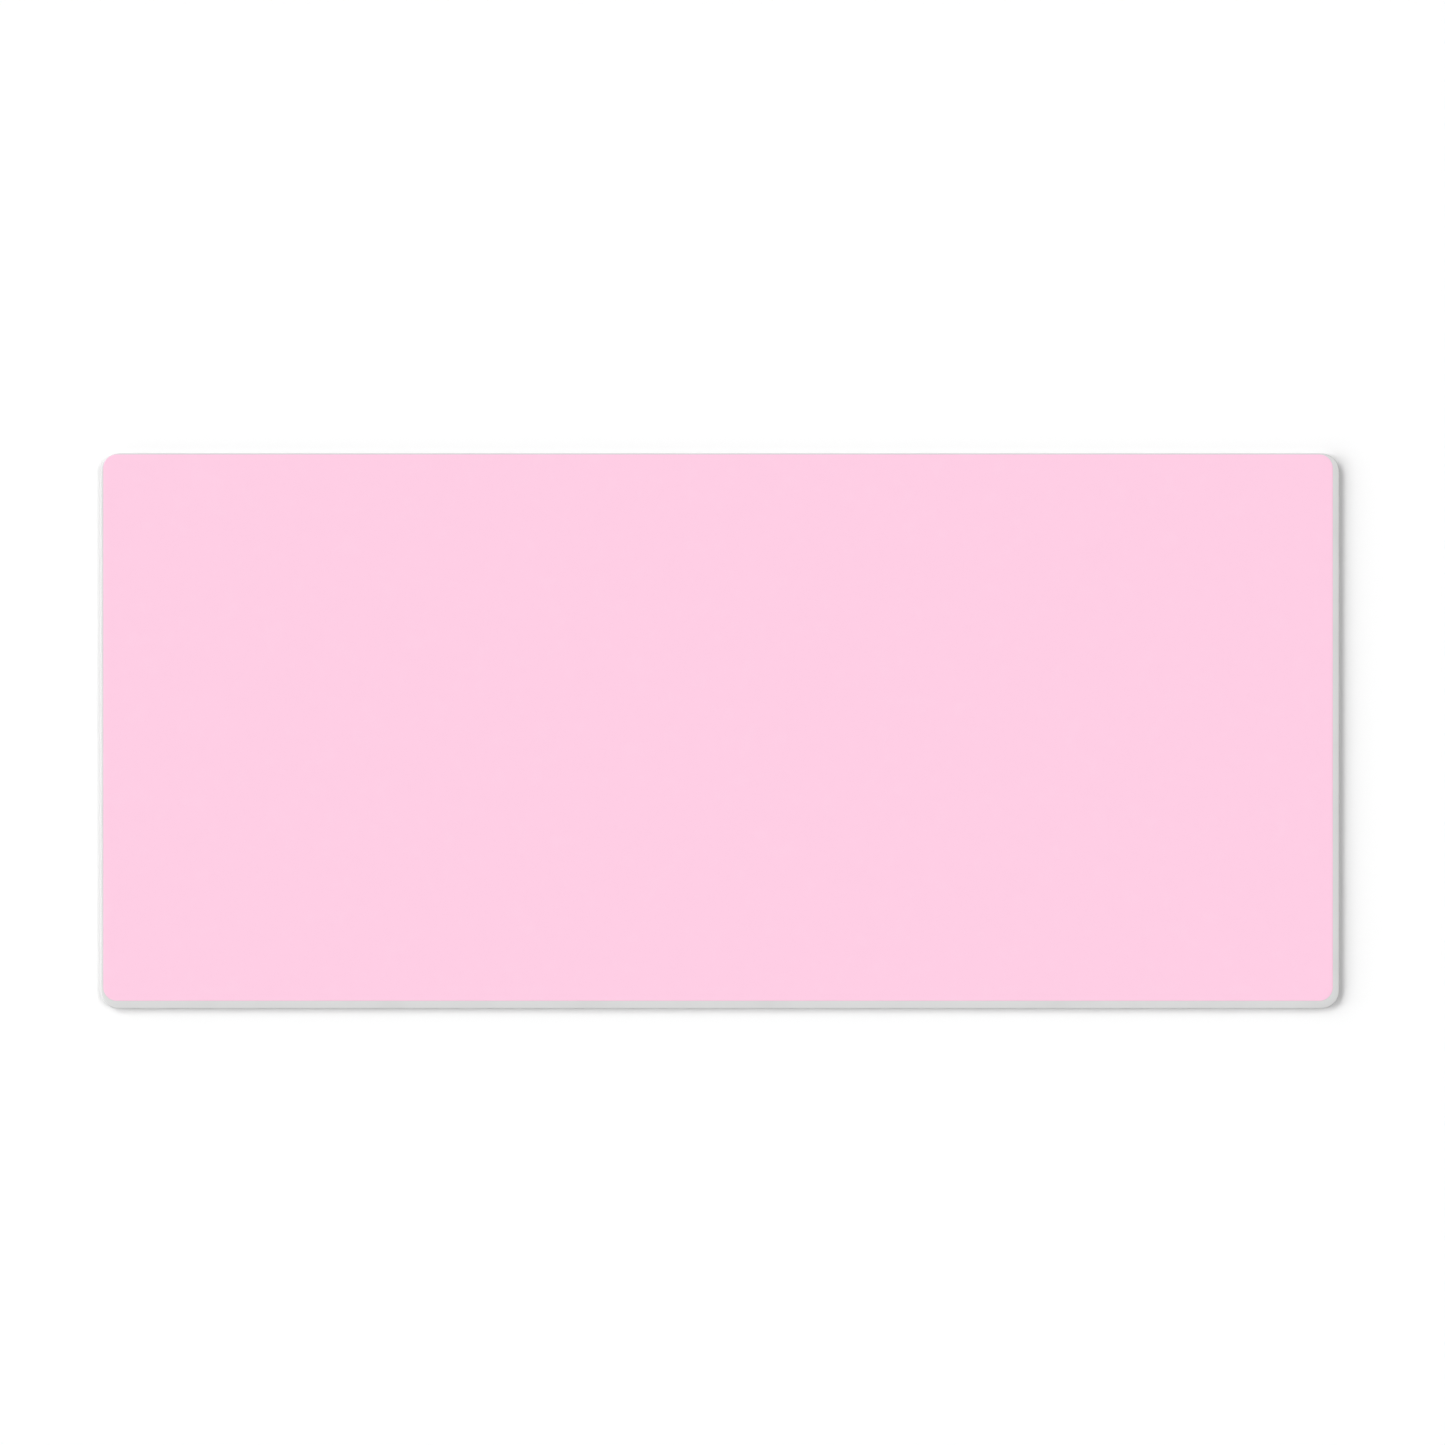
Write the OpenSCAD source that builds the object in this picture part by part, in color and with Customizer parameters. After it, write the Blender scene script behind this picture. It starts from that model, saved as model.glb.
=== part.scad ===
// Desk mat: a printed cloth face set flush in a foam cushion, on a rubber grip sheet.
// It lies flat with its long sides along X, its front edge towards -Y and its face up.
// The origin is the centre of the underside, and sizes are in millimetres.

/* [Face] */
// Length of the printed face, along X
face_length = 900; // [300:10:1200]
// Depth of the printed face, from its front edge to its rear edge
face_depth = 400; // [200:10:600]
// Radius of the printed face's corners
face_corner_r = 10; // [4:0.5:40]

/* [Layers] */
// Thickness of the knitted cloth
cloth_t = 0.4; // [0.3:0.05:0.8]
// Thickness of the film that bonds the cloth to the cushion
bond_t = 0.1; // [0.1:0.05:0.2]
// Thickness of the foam cushion, up to the top of its border
cushion_t = 3.2; // [2:0.1:6]
// Thickness of the rubber grip sheet
grip_t = 0.8; // [0.5:0.1:2]

/* [Border] */
// Width that the foam border has all round when the face lies in the middle
border_w = 3.1; // [3.1:0.1:12]
// How far the face lies to the left of the middle
face_left = 1.6; // [0:0.05:1.6]
// How far the face lies behind the middle
face_rear = 2.5; // [0:0.05:2.5]
// Radius of the border's rounded upper edge
border_round_r = 0.5; // [0.2:0.1:0.5]
// Radius of the cloth's rolled upper edge
cloth_roll_r = 0.15; // [0.1:0.05:0.25]

/* [Hidden] */
$fn = 96;

// Straight run of each side, between the centres of its corner arcs
run_x = face_length - 2 * face_corner_r;
run_y = face_depth - 2 * face_corner_r;

// Corner radius of the border, the rubber sheet and so the whole mat
mat_corner_r = face_corner_r + border_w;

// Depth of the recess that the film and the cloth fill
inlay_t = bond_t + cloth_t;

// Height of each layer's underside
cushion_z = grip_t;
bond_z = cushion_z + cushion_t - inlay_t;
cloth_z = bond_z + bond_t;

// Carries a half section round an outline and fills the middle.
// The section's X runs outwards from a corner arc's centre, and its Y is height.
module swept_layer(thickness) {
    translate([-run_x / 2, -run_y / 2, 0])
        cube([run_x, run_y, thickness]);
    for (turn = [0, 180])
        rotate(turn) {
            translate([run_x / 2, run_y / 2, 0])
                rotate([90, 0, 0])
                    linear_extrude(run_y)
                        children();
            translate([-run_x / 2, run_y / 2, 0])
                rotate([90, 0, 90])
                    linear_extrude(run_x)
                        children();
            translate([run_x / 2, run_y / 2, 0])
                rotate_extrude(angle = 90)
                    children();
            translate([-run_x / 2, run_y / 2, 0])
                rotate(90)
                    rotate_extrude(angle = 90)
                        children();
        }
}

// Half section of a layer with its upper edge rounded over
module rounded_section(reach, height, round_r) {
    square([reach, height - round_r]);
    square([reach - round_r, height]);
    translate([reach - round_r, height - round_r])
        circle(round_r);
}

// Puts a layer where the face lies
module under_face(z) {
    translate([-face_left, face_rear, z])
        children();
}

// Rubber sheet that lies on the desk
module grip_base() {
    color("dimgray")
        swept_layer(grip_t)
            square([mat_corner_r, grip_t]);
}

// Foam cushion, whose border stands level with the face round a recess
module cushion_core() {
    color("silver")
        translate([0, 0, cushion_z])
            difference() {
                swept_layer(cushion_t)
                    rounded_section(mat_corner_r, cushion_t, border_round_r);
                under_face(cushion_t - inlay_t)
                    swept_layer(2 * inlay_t)
                        square([face_corner_r, 2 * inlay_t]);
            }
}

// Film that holds the cloth to the cushion
module bond_film() {
    color("white")
        under_face(bond_z)
            swept_layer(bond_t)
                square([face_corner_r, bond_t]);
}

// Printed cloth, the face that is used
module face_cloth() {
    color("pink")
        under_face(cloth_z)
            swept_layer(cloth_t)
                rounded_section(face_corner_r, cloth_t, cloth_roll_r);
}

grip_base();
cushion_core();
bond_film();
face_cloth();
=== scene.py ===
"""A desk mat: a printed knit face set flush in a foam cushion with a narrow border, on a rubber
grip sheet with an embossed tread. Lengths are in metres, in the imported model's frame."""

import math

import bpy
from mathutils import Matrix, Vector


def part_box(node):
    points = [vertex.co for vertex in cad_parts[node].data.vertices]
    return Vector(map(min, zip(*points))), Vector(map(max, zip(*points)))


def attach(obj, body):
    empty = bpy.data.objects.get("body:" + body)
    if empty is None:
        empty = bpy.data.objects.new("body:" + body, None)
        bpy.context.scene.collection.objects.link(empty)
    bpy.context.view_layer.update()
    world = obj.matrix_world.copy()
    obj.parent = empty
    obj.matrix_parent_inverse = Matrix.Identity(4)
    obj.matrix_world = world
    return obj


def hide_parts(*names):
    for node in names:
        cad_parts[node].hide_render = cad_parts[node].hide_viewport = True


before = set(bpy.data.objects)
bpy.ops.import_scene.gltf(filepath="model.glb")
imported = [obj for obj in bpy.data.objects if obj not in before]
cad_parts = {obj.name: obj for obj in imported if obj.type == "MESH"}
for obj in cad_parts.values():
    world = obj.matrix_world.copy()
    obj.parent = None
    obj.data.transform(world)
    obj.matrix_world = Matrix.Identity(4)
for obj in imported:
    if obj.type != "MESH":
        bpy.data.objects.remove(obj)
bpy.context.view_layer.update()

MM = 0.001

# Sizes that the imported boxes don't give, as the solids have them
FACE_CORNER_R = 10 * MM
CLOTH_ROLL_R = 0.15 * MM
BORDER_ROUND_R = 0.5 * MM

# The round at the rubber's rim and the tread, which the solids leave out
GRIP_ROUND_R = 0.2 * MM
TREAD_PITCH = 6.5 * MM
TREAD_DEPTH = 0.35 * MM

# How far the corners of a stud reach, at its foot and at its top, as shares of half the pitch
STUD_FOOT_SHARE = 0.88
STUD_TOP_SHARE = 0.78

# How finely the meshes are divided. Points along the cloth's margin keep its shading flat inside.
GRID_STEP = 10 * MM
CLOTH_MARGIN = 1 * MM
ARC_STEPS = 12
ROUND_STEPS = 4
SHARP_ANGLE = math.radians(35)

CLOTH_LOW, CLOTH_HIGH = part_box("face_cloth")
BOND_LOW, BOND_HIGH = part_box("bond_film")
CUSHION_LOW, CUSHION_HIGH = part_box("cushion_core")
GRIP_LOW, GRIP_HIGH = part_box("grip_base")

FACE_SIZE = CLOTH_HIGH - CLOTH_LOW
FACE_MIDDLE = (CLOTH_LOW + CLOTH_HIGH) / 2

# Half the straight run of each side, and the corner radius of the whole mat
RUN_X = FACE_SIZE.x / 2 - FACE_CORNER_R
RUN_Y = FACE_SIZE.y / 2 - FACE_CORNER_R
MAT_CORNER_R = GRIP_HIGH.x - RUN_X

# Each point of a section lies on the mat's outline or on the face's, which isn't in the middle
ON_MAT = Vector((0, 0))
ON_FACE = FACE_MIDDLE.xy


# Meshes


def outline_stations(columns, rows):
    """Stations anticlockwise round the mat: each is a cell corner of the middle and a bearing."""
    sides = (
        [((columns, row), 0) for row in range(rows + 1)],
        [((column, rows), 90) for column in range(columns, -1, -1)],
        [((0, row), 180) for row in range(rows, -1, -1)],
        [((column, 0), 270) for column in range(columns + 1)],
    )
    stations = []
    for side in sides:
        stations += side
        cell, bearing = side[-1]
        stations += [(cell, bearing + 90 * step / ARC_STEPS) for step in range(1, ARC_STEPS)]
    return stations


def layer_mesh(name, section, cell_size, emboss=None):
    """A closed layer: a half section carried round the mat's outline, with the middle filled.
    section(outward) runs from the underside out and up to the top, as (distance out, height,
    place of the outline), for the direction in which it faces.
    emboss(points, quad) gives the faces that stand in for one quad of the underside."""
    columns, rows = round(2 * RUN_X / cell_size), round(2 * RUN_Y / cell_size)

    def middle_point(cell):
        return Vector((RUN_X * (2 * cell[0] / columns - 1), RUN_Y * (2 * cell[1] / rows - 1)))

    cells = [(column, row) for row in range(rows + 1) for column in range(columns + 1)]
    under = {cell: index for index, cell in enumerate(cells)}
    over = {cell: index + len(cells) for index, cell in enumerate(cells)}
    points = []
    first, *_, last = section(Vector((1, 0)))
    for _, z, lies in (first, last):
        points += [(*(middle_point(cell) + lies), z) for cell in cells]
    rings = []
    for cell, bearing in outline_stations(columns, rows):
        turn = math.radians(bearing)
        outward = Vector((math.cos(turn), math.sin(turn)))
        ring = [under[cell]]
        for out, z, lies in section(outward)[1:-1]:
            ring.append(len(points))
            points.append((*(middle_point(cell) + out * outward + lies), z))
        rings.append(ring + [over[cell]])
    faces = []
    for column in range(columns):
        for row in range(rows):
            quad = (column, row), (column + 1, row), (column + 1, row + 1), (column, row + 1)
            faces.append([over[cell] for cell in quad])
            below = [under[cell] for cell in reversed(quad)]
            faces += emboss(points, below) if emboss else [below]
    for ring, following in zip(rings, rings[1:] + rings[:1]):
        for k in range(len(ring) - 1):
            corners = ring[k], following[k], following[k + 1], ring[k + 1]
            faces.append(list(dict.fromkeys(corners)))
    mesh = bpy.data.meshes.new(name)
    mesh.from_pydata(points, [], faces)
    mesh.shade_smooth()
    mesh.set_sharp_from_angle(angle=SHARP_ANGLE)
    piece = bpy.data.objects.new(name, mesh)
    bpy.context.scene.collection.objects.link(piece)
    return piece


def rounded(reach, height, radius, start, lies):
    """Quarter round in a section, from a bearing in degrees, that touches a reach and a height."""
    middle = height + radius if start < 0 else height - radius
    turns = [math.radians(start + 90 * step / ROUND_STEPS) for step in range(ROUND_STEPS + 1)]
    return [
        (reach + radius * (math.cos(turn) - 1), middle + radius * math.sin(turn), lies) for turn in turns
    ]


def cloth_section(outward):
    """The cloth, with its upper edge rolled over."""
    low, high = CLOTH_LOW.z, CLOTH_HIGH.z
    roll = rounded(FACE_CORNER_R, high, CLOTH_ROLL_R, 0, ON_FACE)
    margin = (FACE_CORNER_R - CLOTH_MARGIN, high, ON_FACE)
    return [(0, low, ON_FACE), (FACE_CORNER_R, low, ON_FACE), *roll, margin, (0, high, ON_FACE)]


def bond_section(outward):
    """The film, as wide as the cloth."""
    low, high = BOND_LOW.z, BOND_HIGH.z
    upright = (FACE_CORNER_R, low, ON_FACE), (FACE_CORNER_R, high, ON_FACE)
    return [(0, low, ON_FACE), *upright, (0, high, ON_FACE)]


def cushion_section(outward):
    """The foam: an upright side, a border with a rounded upper edge, and the face's recess.
    Where the border is narrow, its round is no wider than the border."""
    low, high, floor = CUSHION_LOW.z, CUSHION_HIGH.z, BOND_LOW.z
    border = MAT_CORNER_R - FACE_CORNER_R - outward.dot(ON_FACE)
    edge = rounded(MAT_CORNER_R, high, min(BORDER_ROUND_R, border), 0, ON_MAT)
    recess = (FACE_CORNER_R, high, ON_FACE), (FACE_CORNER_R, floor, ON_FACE), (0, floor, ON_FACE)
    return [(0, low, ON_MAT), (MAT_CORNER_R, low, ON_MAT), *edge, *recess]


def grip_section(outward):
    """The rubber sheet: the tread's floor, a step down to the flat border, and a rounded rim."""
    low, high = GRIP_LOW.z, GRIP_HIGH.z
    rim = rounded(MAT_CORNER_R, low, GRIP_ROUND_R, -90, ON_MAT)
    step = (0, low + TREAD_DEPTH, ON_MAT), (TREAD_DEPTH, low, ON_MAT)
    return [*step, *rim, (MAT_CORNER_R, high, ON_MAT), (0, high, ON_MAT)]


def tread_cell(points, quad):
    """Faces of one cell of the tread: a low diamond that stands on the cell's floor."""
    corners = [Vector(points[index]) for index in quad]
    centre = sum(corners, Vector()) / len(corners)
    middles = [(a + b) / 2 for a, b in zip(corners, corners[1:] + corners[:1])]
    rings = []
    for share, drop in ((STUD_FOOT_SHARE, 0), (STUD_TOP_SHARE, TREAD_DEPTH)):
        rings.append(range(len(points), len(points) + len(middles)))
        lowered = Vector((0, 0, -drop))
        points += [centre.lerp(middle, share) + lowered for middle in middles]
    foot, top = rings
    faces = [list(top)]
    for k in range(len(quad)):
        after = (k + 1) % len(quad)
        faces.append([quad[k], quad[after], foot[k]])
        faces.append([quad[after], foot[after], foot[k]])
        faces.append([foot[k], foot[after], top[after], top[k]])
    return faces


# Materials. A span is where a fade begins and ends, and other pairs are what it goes between.

# The soft noise that several materials share
MOTTLE = 14 * MM
BLOTCH = 45 * MM
SOFT_DETAIL = 2
FINE_DETAIL = 4
NOISE_SPAN = (0.3, 0.7)

PRINT_CROWN = (0.992, 0.616, 0.783, 1)
# The print darkened as painted shade, for the gaps between the knit's stitches
PRINT_GAP_SHADE = (0.98, 0.597, 0.762, 1)
PRINT_WORN = (0.987, 0.621, 0.781, 1)
PRINT_WORN_SPAN = (0.5, 0.8)
PRINT_WORN_SHARE = (0, 0.5)
UNDYED = (0.93, 0.9, 0.905, 1)
DYE_DEPTH = 0.2 * MM
WALE = 0.62 * MM
COURSE = 0.48 * MM
KNIT_DEPTH = 0.015 * MM
CLOTH_ROUGHNESS = (0.82, 0.92)
CLOTH_SPECULAR = 0.15
CLOTH_SHEEN = 0.06

SKIN = (0.69, 0.69, 0.688, 1)
SKIN_WORN = (0.66, 0.66, 0.658, 1)
SKIN_WORN_SPAN = (0.4, 0.7)
SKIN_DEPTH = 0.1 * MM
SKIN_ROUGHNESS = 0.8
# The cut side's colour is painted shade: the same foam as the skin, darkened for the shade in its open
# cells
SHADED_CUT_FOAM = (0.34, 0.34, 0.338, 1)
# Darker still in the pores, as painted shade
FOAM_PORE_SHADE = (0.24, 0.24, 0.238, 1)
FOAM_CELL = 0.4 * MM
FOAM_WALL_SPAN = (0.1, 0.5)
FOAM_PORE_DEPTH = 0.03 * MM
FOAM_ROUGHNESS = 0.95
FOAM_SPECULAR = 0.2

RUBBER = (0.28, 0.28, 0.28, 1)
RUBBER_BLOOM = (0.33, 0.33, 0.332, 1)
RUBBER_BLOOM_SPAN = (0.35, 0.7)
RUBBER_GRAIN = 0.3 * MM
RUBBER_GRAIN_DEPTH = 0.015 * MM
RUBBER_ROUGHNESS = (0.65, 0.8)
RUBBER_SPECULAR = 0.35
STUD_WORN_DEPTH = TREAD_DEPTH / 4
STUD_POLISH = (0, 0.15)

FILM = (0.87, 0.87, 0.86, 1)
FILM_THIN = (0.8, 0.8, 0.785, 1)
FILM_FLOW_SPAN = (0.35, 0.65)
FILM_ROUGHNESS = (0.4, 0.6)
FILM_SPECULAR = 0.4

# A Mix node's sockets for colours, which share their names with those for other values
MIX_FIRST, MIX_SECOND, MIX_RESULT = 6, 7, 2


def add(tree, kind, inputs=None, **settings):
    """Adds a node, with its settings, and sets or links its inputs."""
    made = tree.nodes.new(kind)
    for name, value in settings.items():
        setattr(made, name, value)
    for name, value in (inputs or {}).items():
        if isinstance(value, bpy.types.NodeSocket):
            tree.links.new(value, made.inputs[name])
        else:
            made.inputs[name].default_value = value
    return made


def maths(tree, operation, *values):
    """Result of a Math node."""
    return add(tree, "ShaderNodeMath", dict(enumerate(values)), operation=operation).outputs[0]


def fade(tree, value, span, levels=(0, 1)):
    """Goes smoothly from one level to the other while a value crosses a span."""
    names = "Value", "From Min", "From Max", "To Min", "To Max"
    inputs = dict(zip(names, (value, *span, *levels)))
    return add(tree, "ShaderNodeMapRange", inputs, interpolation_type="SMOOTHSTEP").outputs[0]


def mixed(tree, share, first, second):
    """A colour between two others."""
    inputs = {"Factor": share, MIX_FIRST: first, MIX_SECOND: second}
    return add(tree, "ShaderNodeMix", inputs, data_type="RGBA").outputs[MIX_RESULT]


def place(tree):
    """The point on the piece, in metres: as a vector, then its x, y and z."""
    point = add(tree, "ShaderNodeTexCoord").outputs["Object"]
    return point, *add(tree, "ShaderNodeSeparateXYZ", {0: point}).outputs


def cloudy(tree, point, size, detail=SOFT_DETAIL):
    """Soft noise from 0 to 1, with spots of about the given size."""
    inputs = {"Vector": point, "Scale": 1 / size, "Detail": detail}
    return add(tree, "ShaderNodeTexNoise", inputs).outputs[0]


def relief(tree, height, depth):
    """A bumped normal, from a height between 0 and 1."""
    return add(tree, "ShaderNodeBump", {"Height": height, "Distance": depth}).outputs[0]


def new_material(name):
    """A material without nodes, and its node tree."""
    material = bpy.data.materials.new(name)
    material.use_nodes = True
    material.node_tree.nodes.clear()
    return material, material.node_tree


def finish_surface(tree, **inputs):
    """A Principled shader on the material's output."""
    named = {name.replace("_", " "): value for name, value in inputs.items()}
    shader = add(tree, "ShaderNodeBsdfPrincipled", named)
    add(tree, "ShaderNodeOutputMaterial", {"Surface": shader.outputs[0]})


def knit(tree, x, y):
    """Height of a fine knit, from 0 in the gaps to 1 on the crowns of its V-shaped stitches."""
    across = maths(tree, "PINGPONG", maths(tree, "DIVIDE", x, WALE), 0.5)
    climb = maths(tree, "ADD", maths(tree, "DIVIDE", y, COURSE), across)
    course = maths(tree, "SINE", maths(tree, "MULTIPLY", climb, math.tau))
    yarn = maths(tree, "SINE", maths(tree, "MULTIPLY", across, math.tau))
    return maths(tree, "MULTIPLY", yarn, maths(tree, "MULTIPLY_ADD", course, 0.5, 0.5))


def printed_cloth():
    """Fine polyester knit, with painted shade in the gaps between its stitches. The print colours its
    upper yarns, and the cut edge shows undyed below.
    """
    material, tree = new_material("printed_cloth")
    point, x, y, z = place(tree)
    stitches = knit(tree, x, y)
    clouds = cloudy(tree, point, MOTTLE)
    # Print colour, with painted shade: it darkens from the stitches' crowns into the gaps between them
    dyed_and_gap_shade = mixed(tree, stitches, PRINT_GAP_SHADE, PRINT_CROWN)
    dyed_and_gap_shade = mixed(tree, fade(tree, clouds, PRINT_WORN_SPAN, PRINT_WORN_SHARE), dyed_and_gap_shade, PRINT_WORN)
    dye_end = CLOTH_HIGH.z - DYE_DEPTH
    dye = fade(tree, z, (dye_end - CLOTH_ROLL_R, dye_end))
    finish_surface(
        tree,
        Base_Color=mixed(tree, dye, UNDYED, dyed_and_gap_shade),
        Roughness=fade(tree, clouds, NOISE_SPAN, CLOTH_ROUGHNESS),
        Specular_IOR_Level=CLOTH_SPECULAR,
        Sheen_Weight=CLOTH_SHEEN,
        Normal=relief(tree, stitches, KNIT_DEPTH),
    )
    return material


def foam_rubber():
    """Foamed rubber: a pale moulded skin on top, and below it the fine cells that the cut has opened,
    painted much darker than the skin as the shade in them, and darker still in the pores.
    """
    material, tree = new_material("foam_rubber")
    point, *_, z = place(tree)
    cells = add(tree, "ShaderNodeTexVoronoi", {"Vector": point, "Scale": 1 / FOAM_CELL}).outputs[0]
    walls = fade(tree, cells, FOAM_WALL_SPAN)
    # Painted shade: the cut side darkens into each pore, where the bump sinks it
    cut = mixed(tree, walls, FOAM_PORE_SHADE, SHADED_CUT_FOAM)
    worn = fade(tree, cloudy(tree, point, BLOTCH), SKIN_WORN_SPAN)
    # Below the skin the cut side shows, painted darker than the skin as shade
    skin_end = CUSHION_HIGH.z - SKIN_DEPTH
    skin = fade(tree, z, (skin_end - SKIN_DEPTH, skin_end))
    finish_surface(
        tree,
        Base_Color=mixed(tree, skin, cut, mixed(tree, worn, SKIN, SKIN_WORN)),
        Roughness=fade(tree, skin, (0, 1), (FOAM_ROUGHNESS, SKIN_ROUGHNESS)),
        Specular_IOR_Level=FOAM_SPECULAR,
        Normal=relief(tree, maths(tree, "MAXIMUM", walls, skin), FOAM_PORE_DEPTH),
    )
    return material


def grip_rubber():
    """Solid rubber with a fine moulded grain, a pale bloom, and studs that contact has smoothed."""
    material, tree = new_material("grip_rubber")
    point, *_, z = place(tree)
    bloom = fade(tree, cloudy(tree, point, BLOTCH, FINE_DETAIL), RUBBER_BLOOM_SPAN)
    grain = cloudy(tree, point, RUBBER_GRAIN)
    polish = fade(tree, z, (GRIP_LOW.z + STUD_WORN_DEPTH, GRIP_LOW.z), STUD_POLISH)
    roughness = fade(tree, grain, NOISE_SPAN, RUBBER_ROUGHNESS)
    finish_surface(
        tree,
        Base_Color=mixed(tree, bloom, RUBBER, RUBBER_BLOOM),
        Roughness=maths(tree, "SUBTRACT", roughness, polish),
        Specular_IOR_Level=RUBBER_SPECULAR,
        Normal=relief(tree, grain, RUBBER_GRAIN_DEPTH),
    )
    return material


def bond_film():
    """Hot-melt film between the cloth and the foam, uneven where it has flowed."""
    material, tree = new_material("bond_film")
    point, *_ = place(tree)
    flow = cloudy(tree, point, MOTTLE, FINE_DETAIL)
    finish_surface(
        tree,
        Base_Color=mixed(tree, fade(tree, flow, FILM_FLOW_SPAN), FILM_THIN, FILM),
        Roughness=fade(tree, flow, NOISE_SPAN, FILM_ROUGHNESS),
        Specular_IOR_Level=FILM_SPECULAR,
    )
    return material


# Pieces


def dress(piece, node, material):
    """Gives a piece its material, and puts it in the place of its solid."""
    piece.data.materials.append(material)
    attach(piece, "root")
    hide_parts(node)


cloth = layer_mesh("printed_cloth_face", cloth_section, GRID_STEP)
bond = layer_mesh("bond_line", bond_section, GRID_STEP)
cushion = layer_mesh("foam_cushion", cushion_section, GRID_STEP)
grip = layer_mesh("rubber_grip_sheet", grip_section, TREAD_PITCH, tread_cell)

dress(cloth, "face_cloth", printed_cloth())
dress(bond, "bond_film", bond_film())
dress(cushion, "cushion_core", foam_rubber())
dress(grip, "grip_base", grip_rubber())

# Stage

WHITE = (1, 1, 1, 1)
FLOOR_SIZE = 120
FLOOR_ALBEDO = 0.96
WORLD_SHARE = 0.01

# Each lamp's bearing, anticlockwise from +X, its height and its width as seen from the mat, in
# degrees, and its share of the light on level ground
LAMPS = {
    "left_key": (180, 38, 30, 0.205),
    "rear_left_key": (135, 38, 30, 0.23),
    "right_top": (0, 50, 30, 0.24),
    "rear_right_fill": (45, 38, 30, 0.1),
    "left_low": (180, 12, 30, 0.1),
    "rear_left_low": (135, 12, 30, 0.06),
    "front_left_low": (225, 12, 30, 0.07),
}


def ray_mix(tree, lit, shown):
    """A surface that shows one shader to the camera, mirrors and glass, and another to light."""
    path = add(tree, "ShaderNodeLightPath")
    seen = path.outputs["Is Camera Ray"]
    for kind in ("Is Glossy Ray", "Is Transmission Ray"):
        seen = maths(tree, "MAXIMUM", seen, path.outputs[kind])
    return add(tree, "ShaderNodeMixShader", {0: seen, 1: lit, 2: shown}).outputs[0]


def make_floor():
    """A white floor that keeps the shadow. A little glow makes up what its colour takes away."""
    half = FLOOR_SIZE / 2
    mesh = bpy.data.meshes.new("floor")
    corners = [(-half, -half, 0), (half, -half, 0), (half, half, 0), (-half, half, 0)]
    mesh.from_pydata(corners, [], [range(len(corners))])
    floor = bpy.data.objects.new("floor", mesh)
    bpy.context.scene.collection.objects.link(floor)
    material, tree = new_material("white_floor")
    colour = (FLOOR_ALBEDO, FLOOR_ALBEDO, FLOOR_ALBEDO, 1)
    lit = add(tree, "ShaderNodeBsdfDiffuse", {"Color": colour}).outputs[0]
    glow = add(tree, "ShaderNodeEmission", {"Strength": 1 - FLOOR_ALBEDO}).outputs[0]
    shown = add(tree, "ShaderNodeAddShader", {0: lit, 1: glow}).outputs[0]
    add(tree, "ShaderNodeOutputMaterial", {"Surface": ray_mix(tree, lit, shown)})
    mesh.materials.append(material)


def make_world():
    """White to look at, with little light of its own."""
    world = bpy.data.worlds.new("studio")
    world.use_nodes = True
    tree = world.node_tree
    tree.nodes.clear()
    lit = add(tree, "ShaderNodeBackground", {"Color": WHITE, "Strength": WORLD_SHARE}).outputs[0]
    shown = add(tree, "ShaderNodeBackground", {"Color": WHITE, "Strength": 1}).outputs[0]
    add(tree, "ShaderNodeOutputWorld", {"Surface": ray_mix(tree, lit, shown)})
    bpy.context.scene.world = world


def make_lamps():
    """Soft distant lamps that together light level ground as white."""
    for name, (bearing, height, width, share) in LAMPS.items():
        lamp = bpy.data.lights.new(name, "SUN")
        lamp.energy = math.pi * share / math.sin(math.radians(height))
        lamp.angle = math.radians(width)
        holder = bpy.data.objects.new(name, lamp)
        holder.rotation_euler = (0, math.radians(90 - height), math.radians(bearing))
        bpy.context.scene.collection.objects.link(holder)


# Camera, from where the face's sides are in the photograph, in its pixels

PHOTO_PIXELS = 1445
PHOTO_LEFT, PHOTO_RIGHT = 103.28, 1332.86
PHOTO_TOP, PHOTO_BOTTOM = 454.38, 1000.88

# A long lens and the width of the sensor, in mm
LENS = 300
SENSOR = 36


def make_camera():
    """A camera straight above the mat, so that the face is a true rectangle."""
    metre_per_pixel = FACE_SIZE.x / (PHOTO_RIGHT - PHOTO_LEFT)
    camera = bpy.data.objects.new("camera", bpy.data.cameras.new("camera"))
    camera.location = (
        FACE_MIDDLE.x + (PHOTO_PIXELS - PHOTO_LEFT - PHOTO_RIGHT) / 2 * metre_per_pixel,
        FACE_MIDDLE.y + (PHOTO_TOP + PHOTO_BOTTOM - PHOTO_PIXELS) / 2 * metre_per_pixel,
        CLOTH_HIGH.z + PHOTO_PIXELS * metre_per_pixel * LENS / SENSOR,
    )
    camera.data.lens = LENS
    camera.data.sensor_width = SENSOR
    bpy.context.scene.collection.objects.link(camera)
    bpy.context.scene.camera = camera


make_floor()
make_world()
make_lamps()
make_camera()
bpy.context.scene.view_settings.view_transform = "Standard"
